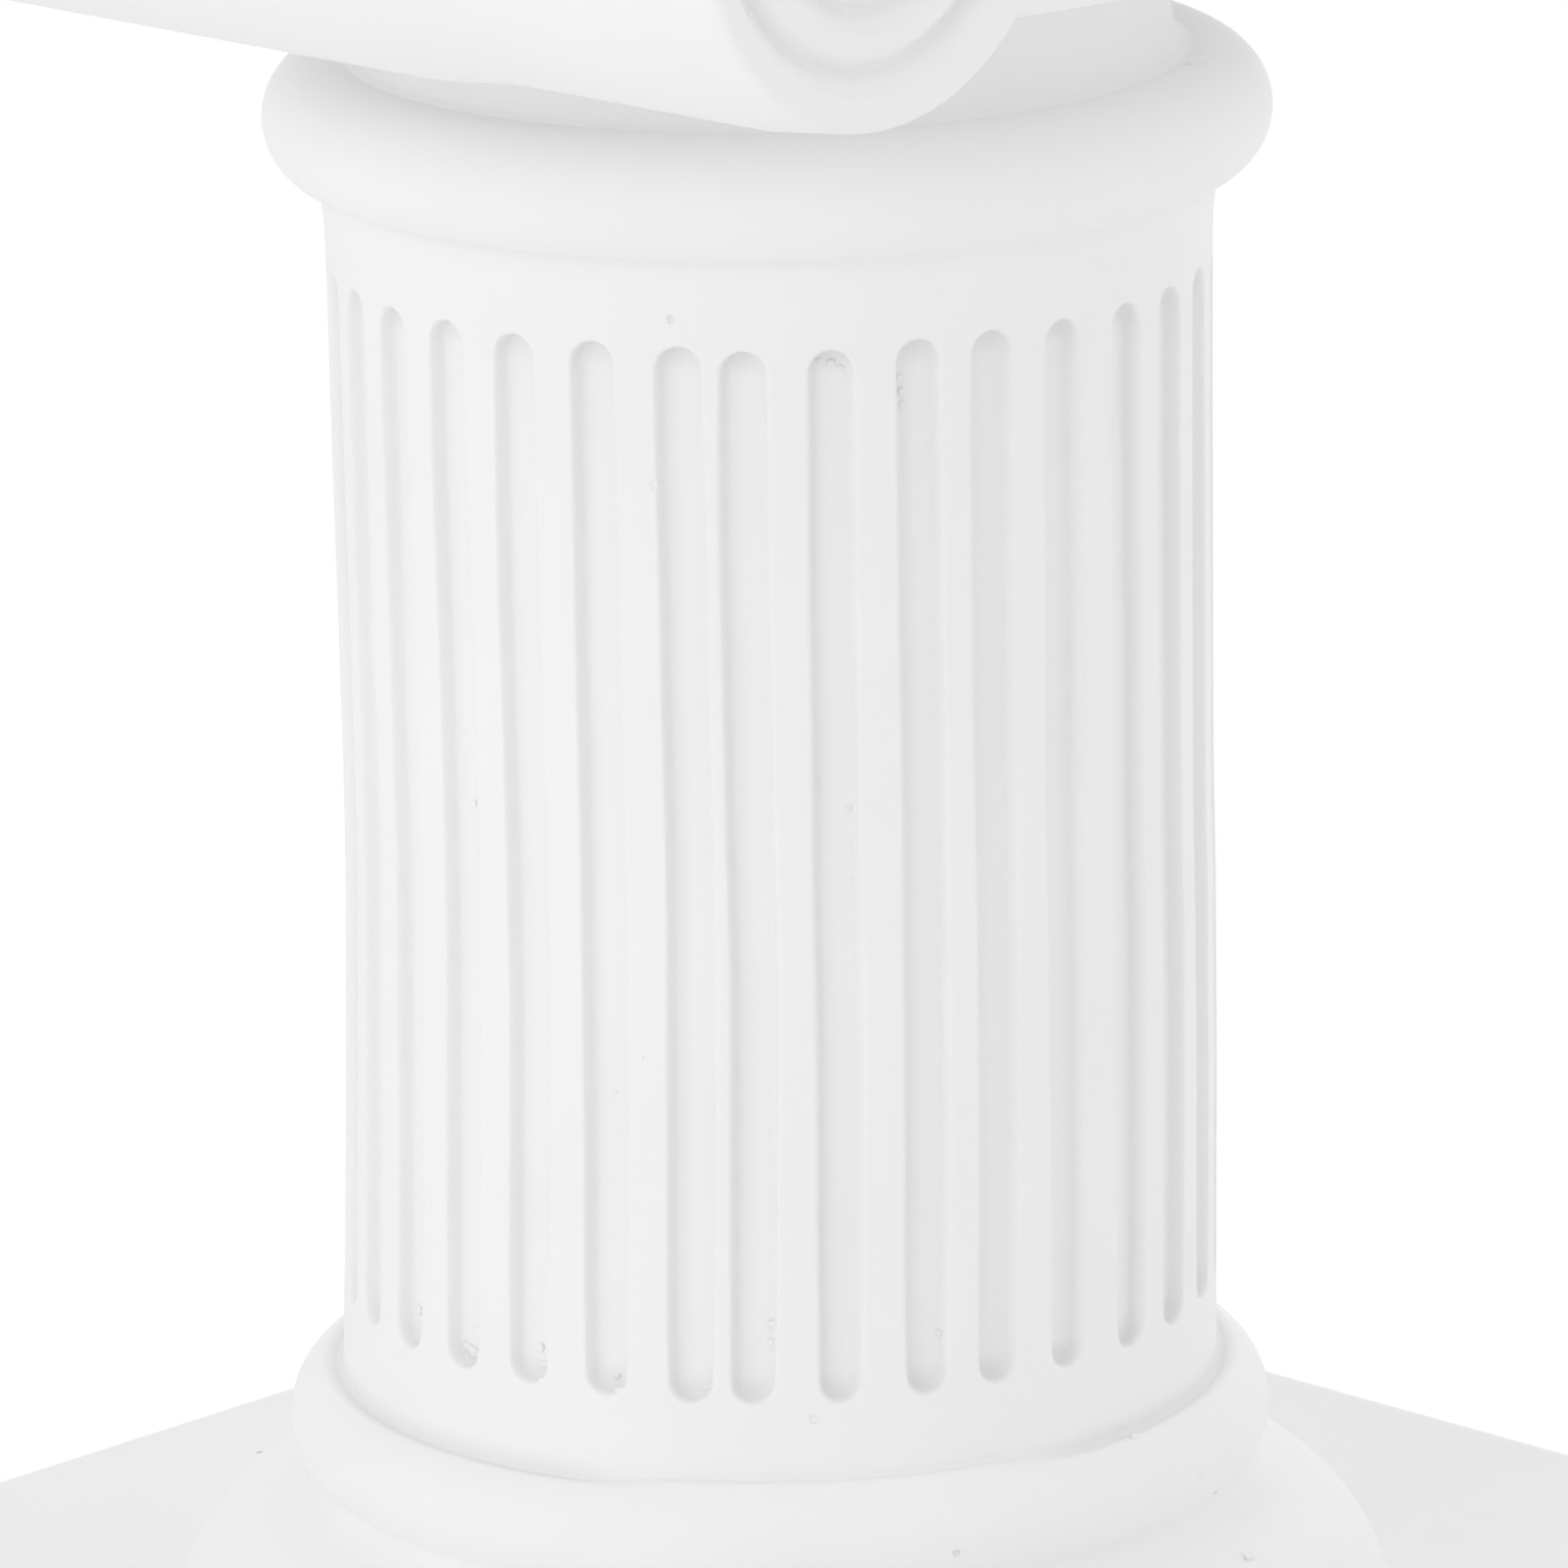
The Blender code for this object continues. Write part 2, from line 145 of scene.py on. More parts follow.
# Elsewhere they are (x, y, z, size)
ROUND_BUMPS = ((11.2, -22.2, 108.0, 0.24), (12.1, -22.7, 107.9, 0.26), (7.9, -29.2, 22.4, 0.35),
               (1.4, -26.3, 30.6, 0.26), (-48.3, -45.9, 122.8, 0.30))
ROUND_PITS = ((10.65, -26.0, 23.6, 0.24), (5.4, -27.7, 27.6, 0.22), (7.8, -26.5, 25.7, 0.26),
              (-12.5, -25.4, 27.1, 0.22), (3.3, 48.9, 12.5, 0.25))
FLAW_FLATNESS = 0.32

# Scroll relief on the volute faces
GROOVE_HALF = 1.40
GROOVE_DEPTH = 1.2
GROOVE_SHARPNESS = 1.3
SCROLL_MARGIN = 1.7
SCROLL_PITCH = 3.2
SCROLL_TURNS = 2.6
EYE_RADIUS = 2.1
EYE_RISE = 0.6

# Painted shade in narrow hollows: how far it reaches, the share of the white it leaves, and its limits
CREVICE_SHADE_REACH = 1.4
CREVICE_SHADE_TONE = 0.70
CREVICE_SHADE_SHUT = 0.40
CREVICE_SHADE_OPEN = 0.80
CREVICE_SHADE_RAYS = 4
# From the ring upwards the painted shade in crevices is kept only at this share
RING_FOOT_Z = 101.5
RING_FOOT_FADE = 1.5
HEAD_CREVICE_SHADE = 0.3

# Plaster: its darkest and lightest white, and sizes of its clouds, unevenness and grain
DARK_WHITE = (0.915, 0.915, 0.913, 1)
LIGHT_WHITE = (0.945, 0.945, 0.943, 1)
CLOUD_SCALE = 90.0
UNEVEN_SCALE = 260.0
UNEVEN_HEIGHT = 0.0001
GRAIN_SCALE = 1400.0
GRAIN_HEIGHT = 0.00003
SHARP_ANGLE = 42

# Camera, before its turn round the part: lens in millimetres and place over the shaft's radius
CAMERA_TURN = -45.54
CAMERA_LENS = 260.11
CAMERA_RIGHT = (0.999886, -0.0045144, -0.0144064)
CAMERA_UP = (0.0150854, 0.2610741, 0.9652009)
CAMERA_AHEAD = (0.0005962, 0.9653082, -0.2611125)
CAMERA_SPOT = (0.0, -25.1536, 7.9732)

# Studio, in metres and watts
SURROUND_LIGHT = 0.52
FLOOR_GLOW = 0.235
FLOOR_HALF = 3.0
SOFT_BOX_SIZE = 0.6
SOFT_BOX_DISTANCE = 1.2
BOX_AIM_Z = 0.07
# Each soft box is (degrees round from the camera to its right, degrees above the level, watts)
SOFT_BOXES = ((-180, 12, 0.58), (-150, 12, 0.49), (-120, 12, 0.30), (-90, 12, 0.45), (-60, 12, 1.10),
              (-30, 12, 1.18), (60, 12, 0.30), (90, 12, 0.93), (120, 12, 0.19), (150, 12, 0.93),
              (-180, 25, 0.74), (-30, 25, 0.57), (30, 25, 0.48), (90, 25, 0.30), (120, 25, 0.45),
              (-180, 50, 0.56), (-150, 50, 0.22), (-90, 50, 0.34), (-60, 50, 0.35), (-30, 50, 0.61),
              (0, 50, 0.22), (30, 50, 0.32), (90, 50, 0.47), (150, 50, 0.53))


def add_piece(name, verts, faces):
    """A mesh object from points in millimetres and index faces, with its faces pointing out."""
    mesh = bpy.data.meshes.new(name)
    points = [tuple(float(c) * MM for c in v) for v in verts]
    mesh.from_pydata(points, [], [tuple(map(int, f)) for f in faces])
    mesh.validate()
    bm = bmesh.new()
    bm.from_mesh(mesh)
    bmesh.ops.remove_doubles(bm, verts=bm.verts, dist=WELD * MM)
    bmesh.ops.recalc_face_normals(bm, faces=bm.faces)
    bm.to_mesh(mesh)
    bm.free()
    obj = bpy.data.objects.new(name, mesh)
    bpy.context.scene.collection.objects.link(obj)
    return obj


def arc(centre, radius, start, end, steps):
    """Points on an arc, with angles in degrees."""
    out = []
    for i in range(steps + 1):
        a = math.radians(start + (end - start) * i / steps)
        out.append((centre[0] + radius * math.cos(a), centre[1] + radius * math.sin(a)))
    return out


def soften(points, blur, turn=7.0, reach=0.9):
    """Round the corners of an open line by a small blur, then keep only the points its curve needs."""
    points = np.array(points, float)
    lengths = np.concatenate([[0.0], np.cumsum(np.hypot(*np.diff(points, axis=0).T))])
    pitch = 0.04
    s = np.arange(0.0, lengths[-1], pitch)
    fine = np.stack([np.interp(s, lengths, points[:, i]) for i in (0, 1)], -1)
    width = int(4 * blur / pitch)
    kernel = np.exp(-0.5 * (np.arange(-width, width + 1) * pitch / blur) ** 2)
    kernel /= kernel.sum()
    padded = np.pad(fine, ((width, width), (0, 0)), mode="reflect", reflect_type="odd")
    fine = np.stack([np.convolve(padded[:, i], kernel, mode="valid") for i in (0, 1)], -1)
    way = np.unwrap(np.arctan2(*np.diff(fine, axis=0).T[::-1]))
    kept = [0]
    for i in range(1, len(fine) - 1):
        bend = abs(way[i] - way[kept[-1]])
        if bend > math.radians(turn) or (i - kept[-1]) * pitch > reach:
            kept.append(i)
    kept.append(len(fine) - 1)
    return fine[kept]


def shaft_radius(z):
    """Radius of the plain shaft, which is thinnest half way up."""
    middle = (SHAFT_FOOT_Z + SHAFT_HEAD_Z) / 2
    share = (z - middle) / (SHAFT_HEAD_Z - middle)
    end = SHAFT_HEAD_END if share > 0 else SHAFT_FOOT_END
    return SHAFT_RADIUS + (end - SHAFT_RADIUS) * abs(share)


def on_column(radius, angle, z):
    """A point at a radius and angle, moved by the waver of the column at its height."""
    share = float(np.interp(z, WAVER_Z, WAVER))
    return (radius * math.sin(angle) + BASE_OFFSET[0] * share,
            -radius * math.cos(angle) + BASE_OFFSET[1] * share, z)


def flute_angle(i):
    """Where the middle of a flute stands."""
    return FLUTE_START + i * FLUTE_STEP + FLUTE_WANDER.get(i, 0.0) / SHAFT_RADIUS


def flute_limits(i):
    """Distances across from a flute's middle to the middles of the lands on its two sides."""
    here = flute_angle(i)
    left = (here - flute_angle((i - 1) % FLUTE_COUNT)) % math.tau
    right = (flute_angle((i + 1) % FLUTE_COUNT) - here) % math.tau
    return -left / 2 * SHAFT_RADIUS, right / 2 * SHAFT_RADIUS


def flute_ends(i):
    """Heights of the centres of a flute's two round ends."""
    low = FLUTE_FOOT_Z + FLUTE_WIDTH / 2 + 0.05 * math.sin(4.7 * i)
    high = FLUTE_HEAD_Z - FLUTE_WIDTH / 2 + 0.05 * math.sin(3.1 * i)
    return low, high - (SHORT_LOSS if i < SHORT_FLUTES else 0.0)


def flute_depths():
    """Depth at each column of a flute: flat floor, steep walls, soft edges."""
    away = np.arange(-260, 261) * 0.01
    share = np.minimum(np.abs(away) / (FLUTE_WIDTH / 2), 1.0)
    depth = FLUTE_DEPTH * (1 - share ** FLUTE_SQUARENESS) ** (1 / FLUTE_SQUARENESS)
    kernel = np.exp(-0.5 * (np.arange(-30, 31) * 0.01 / FLUTE_EDGE) ** 2)
    depth = np.convolve(depth, kernel / kernel.sum(), mode="same")
    return [float(np.interp(offset, away, depth)) for offset in COLUMN_OFFSETS]


def flute_hand(i, z):
    """What the carver's hand did to a flute at one height: its breadth as a share, and its sway aside."""
    breadth = 1.0 + 0.012 * math.sin(1.9 * i + z / 11.0)
    breadth -= FOOT_NARROWING * math.exp(-max(z - FLUTE_FOOT_Z, 0.0) / 6.0)
    breadth -= HEAD_NARROWING * math.exp(-max(FLUTE_HEAD_Z - z, 0.0) / 6.0)
    return breadth, 0.035 * math.sin(z / 7.3 + 2.1 * i) + 0.02 * math.sin(z / 2.9 + 1.3 * i)


def flute_cell(i, depths, levels):
    """The skin of the shaft round one flute: straight rows, and rows bent round both of its ends."""
    middle = flute_angle(i)
    left, right = flute_limits(i)
    across = [-offset for offset in reversed(COLUMN_OFFSETS)] + list(COLUMN_OFFSETS)
    sunk = depths[::-1] + depths
    verts = []
    faces = []

    def spot(x, z, depth=0.0):
        verts.append(on_column(shaft_radius(z) - depth, middle + x / SHAFT_RADIUS, z))
        return len(verts) - 1

    def row(z, side_z):
        breadth, sway = flute_hand(i, z)
        inner = [spot(x * breadth + sway, z, depth) for x, depth in zip(across, sunk)]
        return [spot(left, side_z)] + inner + [spot(right, side_z)]

    low, high = flute_ends(i)
    half = FLUTE_WIDTH / 2
    rows = [row(low, FLUTE_FOOT_Z + half)] + [row(z, z) for z in levels] + [row(high, FLUTE_HEAD_Z - half)]
    for below, above in zip(rows, rows[1:]):
        faces += [(below[k], below[k + 1], above[k + 1], above[k]) for k in range(len(below) - 1)]
    columns = len(COLUMN_OFFSETS)
    for centre, ends, side, edge in ((low, rows[0], FLUTE_FOOT_Z + half, FLUTE_FOOT_Z - END_MARGIN),
                                     (high, rows[-1], FLUTE_HEAD_Z - half, FLUTE_HEAD_Z + END_MARGIN)):
        breadth, sway = flute_hand(i, centre)
        down = math.copysign(1.0, edge - centre)
        lines = []
        for k, (offset, depth) in enumerate(zip(COLUMN_OFFSETS, depths)):
            reach = offset * breadth
            turns = [math.pi * j / END_STEPS for j in range(1, END_STEPS)]
            bend = [spot(sway - reach * math.cos(a), centre + down * reach * math.sin(a), depth)
                    for a in turns]
            lines.append([ends[columns - k]] + bend + [ends[columns + 1 + k]])
        corner = (END_STEPS - LAND_STEPS) // 2
        sides = [side + (edge - side) * k / corner for k in range(1, corner + 1)]
        edge_row = [spot(left + (right - left) * k / LAND_STEPS, edge) for k in range(1, LAND_STEPS)]
        lines.append([ends[0]] + [spot(left, z) for z in sides] + edge_row
                     + [spot(right, z) for z in reversed(sides)] + [ends[-1]])
        faces.append(tuple(lines[0]))
        for inner, outer in zip(lines, lines[1:]):
            faces += [(inner[k], inner[k + 1], outer[k + 1], outer[k]) for k in range(END_STEPS)]
    return verts, faces


def seam_filled(radius, angle, z):
    """A profile point near the seam groove, pushed out where the front of the casting has none."""
    aside = abs((math.degrees(angle) - FRONT_ANGLE + 180) % 360 - 180)
    share = min(max((FRONT_FILLED + FRONT_FADE - aside) / FRONT_FADE, 0.0), 1.0)
    away = math.hypot(radius - SEAM_GROOVE[0], z - SEAM_GROOVE[1]) / SEAM_GROOVE_SIZE
    push = SEAM_FILL * share * share * (3 - 2 * share) * math.exp(-away * away)
    return radius + 0.55 * push, z + 0.83 * push


def column():
    """Base, fluted shaft, ring, seam bead and neck as one skin."""
    foot_edge = FLUTE_FOOT_Z - END_MARGIN
    head_edge = FLUTE_HEAD_Z + END_MARGIN
    low = [(FOOT_CENTRE + FOOT_TUBE, PLINTH_TOP - OVERLAP)]
    low += arc((FOOT_CENTRE, FOOT_Z), FOOT_TUBE, 0, FOOT_ROUND_TOP, 40)
    low += BASE_GROOVE
    low += arc((UPPER_CENTRE, UPPER_Z), UPPER_TUBE, UPPER_ROUND[0], UPPER_ROUND[1], 36)
    low += SHAFT_FOOT_CURVE
    low.append((shaft_radius(foot_edge), foot_edge))
    ring_high = 180 - math.degrees(math.asin((SEAM_Z - RING_Z) / RING_TUBE))
    high = [(shaft_radius(head_edge), head_edge)]
    high += SHAFT_HEAD_CURVE
    high += arc((RING_CENTRE, RING_Z), RING_TUBE, RING_START, ring_high - RING_STOP, 48)
    high += [(SEAM_RADIUS + out, SEAM_Z + up) for out, up in BEAD]
    high += [(NECK_RADIUS + out, SEAM_Z + up) for out, up in NECK_HOLLOW]
    high.append((NECK_RADIUS, CAPITAL_Z + OVERLAP))
    low = [tuple(p) for p in soften(low, LOW_BLUR)[:-1]] + [low[-1]]
    high = [high[0]] + [tuple(p) for p in soften(high, HIGH_BLUR)[1:]]
    angles = []
    for i in range(FLUTE_COUNT):
        left, right = flute_limits(i)
        angles += [flute_angle(i) + (left + (right - left) * k / LAND_STEPS) / SHAFT_RADIUS
                   for k in range(LAND_STEPS)]
    n = len(angles)
    verts = []
    faces = []
    for profile in (low, high):
        for k, (radius, z) in enumerate(profile):
            if k:
                s, t = len(verts) - n, len(verts)
                faces += [(s + i, s + (i + 1) % n, t + (i + 1) % n, t + i) for i in range(n)]
            for angle in angles:
                r, h = seam_filled(radius, angle, z)
                verts.append(on_column(r, angle, h))
    faces.append(tuple(reversed(range(n))))
    faces.append(tuple(range(len(verts) - n, len(verts))))
    half = FLUTE_WIDTH / 2
    first, last = FLUTE_FOOT_Z + half + 0.3, FLUTE_HEAD_Z - half - 0.6
    levels = np.linspace(first, last, int((last - first) / LONG_ROW_STEP) + 1)
    depths = flute_depths()
    for i in range(FLUTE_COUNT):
        more, cells = flute_cell(i, depths, [float(z) for z in levels])
        faces += [tuple(k + len(verts) for k in cell) for cell in cells]
        verts += more
    return add_piece("column", verts, faces)


def lump(name, centre, size, outward, raised):
    """A small uneven pebble, flat on its outer side where it is raised, and else on its inner side."""
    bm = bmesh.new()
    bmesh.ops.create_icosphere(bm, subdivisions=3 if size > 0.2 else 2, radius=1.0)
    outward = Vector(outward).normalized()
    for v in bm.verts:
        p = v.co.copy()
        seed = centre[0] + centre[2]
        uneven = 1 + 0.16 * math.sin(2.7 * p.x + seed) * math.cos(3.1 * p.y - seed)
        uneven += 0.1 * math.sin(4.3 * p.z)
        p *= size * uneven
        along = p.dot(outward)
        if (along > 0) == raised:
            p -= outward * along * (1 - FLAW_FLATNESS)
        v.co = (p + Vector(centre)) * MM
    mesh = bpy.data.meshes.new(name)
    bm.to_mesh(mesh)
    bm.free()
    obj = bpy.data.objects.new(name, mesh)
    bpy.context.scene.collection.objects.link(obj)
    return obj


def flaws(name, on_shaft, elsewhere, raised):
    """Lumps at the places where the casting has bumps, or where it has pits."""
    depths = flute_depths()
    out = []
    for i, across, height, size in on_shaft:
        low, high = flute_ends(i)
        z = FLUTE_FOOT_Z + height
        away = math.hypot(across, z - min(max(z, low), high))
        sunk = float(np.interp(away, (0.0,) + COLUMN_OFFSETS, [depths[0]] + depths))
        angle = flute_angle(i) + across / SHAFT_RADIUS
        centre = on_column(shaft_radius(z) - sunk, angle, z)
        out.append(lump(name, centre, size, (math.sin(angle), -math.cos(angle), 0), raised))
    for x, y, z, size in elsewhere:
        out.append(lump(name, (x, y, z), size, (x, y, 0), raised))
    return out


def bolster_radius(s):
    """Radius of a bolster at a distance along Y from the middle, and how far the face edge is drawn in."""
    share = min(max((s - BELLY_FADE[0]) / BELLY_FADE[1], 0.0), 1.0)
    radius = BELLY_RADIUS + (PLAIN_RADIUS - BELLY_RADIUS) * share * share * (3 - 2 * share)
    share = min(max((s - (FACE_Y - FACE_FLARE[0])) / FACE_FLARE[1], 0.0), 1.0)
    radius += (VOLUTE_RADIUS - PLAIN_RADIUS) * share
    edge = max(s - (FACE_Y - FACE_EDGE), 0.0) / FACE_EDGE
    drawn = FACE_EDGE_DRAWN * (1 - math.sqrt(max(1 - edge ** 2, 0.0)))
    return radius - drawn, drawn


def capital_outline(s):
    """The scroll block's outline at one distance from the middle: arc, sagging edge, arc and flat top."""
    radius, drawn = bolster_radius(s)
    meet = math.radians(310)
    for _ in range(30):
        x = -VOLUTE_SPREAD + radius * math.cos(meet)
        edge = CAPITAL_Z + drawn + BAND_SAG * (x / VOLUTE_SPREAD) ** 2
        meet = math.tau + math.asin((edge - VOLUTE_Z) / radius)
    left = arc((-VOLUTE_SPREAD, VOLUTE_Z), radius, 90, math.degrees(meet), 64)
    reach = -left[-1][0]
    sag = []
    for i in range(1, 36):
        x = -reach + 2 * reach * i / 36
        sag.append((x, CAPITAL_Z + drawn + BAND_SAG * (x / VOLUTE_SPREAD) ** 2))
    right = [(-x, z) for x, z in reversed(left)]
    lid = [(VOLUTE_SPREAD - 3 - (VOLUTE_SPREAD - 3) * i / 12, ABACUS_Z + 0.5 - drawn) for i in range(25)]
    return left + sag + right + lid


def scroll_line():
    """Points along the carved scroll: out of the left eye, under the abacus and into the right eye."""
    turn = np.linspace(0, math.tau * SCROLL_TURNS, 420)
    radius = VOLUTE_RADIUS - SCROLL_MARGIN - SCROLL_PITCH * turn / math.tau
    x = -VOLUTE_SPREAD + radius * np.cos(math.pi / 2 + turn)
    z = VOLUTE_Z + radius * np.sin(math.pi / 2 + turn)
    flat = np.linspace(-VOLUTE_SPREAD, VOLUTE_SPREAD, 200)[1:-1]
    left = np.stack([x, z], -1)[::-1]
    middle = np.stack([flat, np.full_like(flat, z[0])], -1)
    right = np.stack([-x, z], -1)
    return np.concatenate([left, middle, right])


def relief(points, outline):
    """Height of the carved face over its plane at (x, z) points; zero along the outline."""
    line = scroll_line()
    dist = np.empty(len(points))
    rim = np.empty(len(points))
    for i in range(0, len(points), 500):
        part = points[i:i + 500, None, :]
        dist[i:i + 500] = np.hypot(*(part - line[None]).transpose(2, 0, 1)).min(1)
        rim[i:i + 500] = np.hypot(*(part - outline[None]).transpose(2, 0, 1)).min(1)
    share = np.minimum(dist / GROOVE_HALF, 1.0)
    height = -GROOVE_DEPTH * (0.5 + 0.5 * np.cos(math.pi * share)) ** GROOVE_SHARPNESS
    for side in (-1, 1):
        out = np.hypot(points[:, 0] - side * VOLUTE_SPREAD, points[:, 1] - VOLUTE_Z) / EYE_RADIUS
        height = np.maximum(height, np.where(out < 1, EYE_RISE * np.sqrt(np.maximum(1 - out ** 2, 0)), -9))
    fade = np.clip(rim / 0.5, 0, 1)
    return height * fade * fade * (3 - 2 * fade)


def capital():
    """The scroll block with its bolsters, lofted along Y, and carved relief on both faces."""
    inner = [0, 4, 8, 12, 15, 16.5, 18, 19.5, 21, 22.5, 24, 28, 32, 36, 40, 41.55, 42.5, 43.5, 44.5, 45.55]
    edge = [FACE_Y - FACE_EDGE * (1 - math.sin(math.radians(a))) for a in (15, 30, 45, 60, 75)]
    half = inner + edge + [FACE_Y]
    stations = [-s for s in reversed(half)] + half[1:]
    rings = [capital_outline(abs(y)) for y in stations]
    n = len(rings[0])
    verts = [(x, y, z) for y, ring in zip(stations, rings) for x, z in ring]
    faces = []
    for k in range(len(stations) - 1):
        for i in range(n):
            j = (i + 1) % n
            faces.append((k * n + i, k * n + j, (k + 1) * n + j, (k + 1) * n + i))
    outline = np.array(rings[0])
    inside = []
    for side in (-1, 1):
        for radius in np.arange(0.0, VOLUTE_RADIUS - 0.75, 0.30):
            count = 1 if radius == 0 else int(min(100, max(8, 18 * radius)))
            for k in range(count):
                a = math.tau * k / count
                inside.append((side * VOLUTE_SPREAD + radius * math.cos(a), VOLUTE_Z + radius * math.sin(a)))
    for x in np.arange(-30.0, 30.1, 1.2):
        top = VOLUTE_Z + VOLUTE_RADIUS - SCROLL_MARGIN
        heights = list(np.arange(CAPITAL_Z + 1.6, top - 2.2, 1.2))
        heights += list(np.arange(top - 1.6, ABACUS_Z + 0.1, 0.3))
        for z in heights:
            clear = min(math.hypot(x - s * VOLUTE_SPREAD, z - VOLUTE_Z) for s in (-1, 1))
            if clear > VOLUTE_RADIUS - 0.5:
                inside.append((x, z))
    for x in np.arange(VOLUTE_SPREAD - 9, VOLUTE_SPREAD, 1.0):
        for side in (-1, 1):
            inside.append((side * x, ABACUS_Z - 0.02))
    inside = np.array(inside)
    points = [Vector(p) for p in outline] + [Vector(p) for p in inside]
    flat, _, cells, _, _, _ = delaunay_2d_cdt(points, [], [list(range(n))], 1, 1e-6)
    flat = np.array([tuple(p) for p in flat])
    height = relief(flat, outline)
    for sign in (-1, 1):
        start = len(verts)
        for (x, z), h in zip(flat, height):
            verts.append((x, sign * (FACE_Y + h), z))
        for cell in cells:
            faces.append(tuple(start + i for i in cell))
    return add_piece("capital", verts, faces)


def rounded_square(half, corner):
    """A square outline with small round corners."""
    out = []
    for quarter in range(4):
        for k in range(5):
            a = math.radians(90 * quarter + 90 * k / 4)
            sx = 1 if quarter in (0, 3) else -1
            sy = 1 if quarter in (0, 1) else -1
            out.append((sx * (half - corner) + corner * math.cos(a),
                        sy * (half - corner) + corner * math.sin(a)))
    return out


def stacked(name, levels, corner):
    """Square rings of (half side, height) skinned into one closed slab."""
    verts = []
    faces = []
    n = 20
    for half, z in levels:
        verts += [(x, y, z) for x, y in rounded_square(half, corner)]
    for k in range(len(levels) - 1):
        for i in range(n):
            j = (i + 1) % n
            faces.append((k * n + i, k * n + j, (k + 1) * n + j, (k + 1) * n + i))
    faces.append(tuple(reversed(range(n))))
    faces.append(tuple(range(len(verts) - n, len(verts))))
    return add_piece(name, verts, faces)


def abacus():
    """The top slab: a hollow that flares out to a plain fillet."""
    hollow = TOP_Z - ABACUS_Z - ABACUS_FILLET
    levels = [(ABACUS_HALF - ABACUS_SETBACK, ABACUS_Z)]
    for i in range(1, 13):
        a = math.radians(90 * i / 12)
        levels.append((ABACUS_HALF - ABACUS_SETBACK * math.cos(a), ABACUS_Z + hollow * math.sin(a)))
    for a in (0, 22, 45, 68, 90):
        side = 1 - math.cos(math.radians(a))
        up = 1 - math.sin(math.radians(a))
        levels.append((ABACUS_HALF - ABACUS_EDGE * side, TOP_Z - ABACUS_EDGE * up))
    return stacked("abacus", levels, ABACUS_EDGE)


def plinth():
    """The square foot slab with softened edges."""
    half = PLINTH_SIDE / 2
    low = []
    high = []
    for a in (0, 22.5, 45, 67.5, 90):
        by_sine = PLINTH_EDGE * (1 - math.sin(math.radians(a)))
        by_cosine = PLINTH_EDGE * (1 - math.cos(math.radians(a)))
        low.append((half - by_sine, by_cosine))
        high.append((half - by_cosine, PLINTH_TOP - by_sine))
    return stacked("plinth", low + high, PLINTH_EDGE)


def join_all(target, tools, operation):
    """Unite the target with, or cut it by, every tool at once."""
    group = bpy.data.collections.new("tools")
    for tool in tools:
        group.objects.link(tool)
    modifier = target.modifiers.new(operation, 'BOOLEAN')
    modifier.operand_type = 'COLLECTION'
    modifier.collection = group
    modifier.operation = operation
    modifier.solver = 'EXACT'
    depsgraph = bpy.context.evaluated_depsgraph_get()
    target.data = bpy.data.meshes.new_from_object(target.evaluated_get(depsgraph))
    target.modifiers.clear()
    for tool in tools:
        bpy.data.objects.remove(tool, do_unlink=True)
    bpy.data.collections.remove(group)


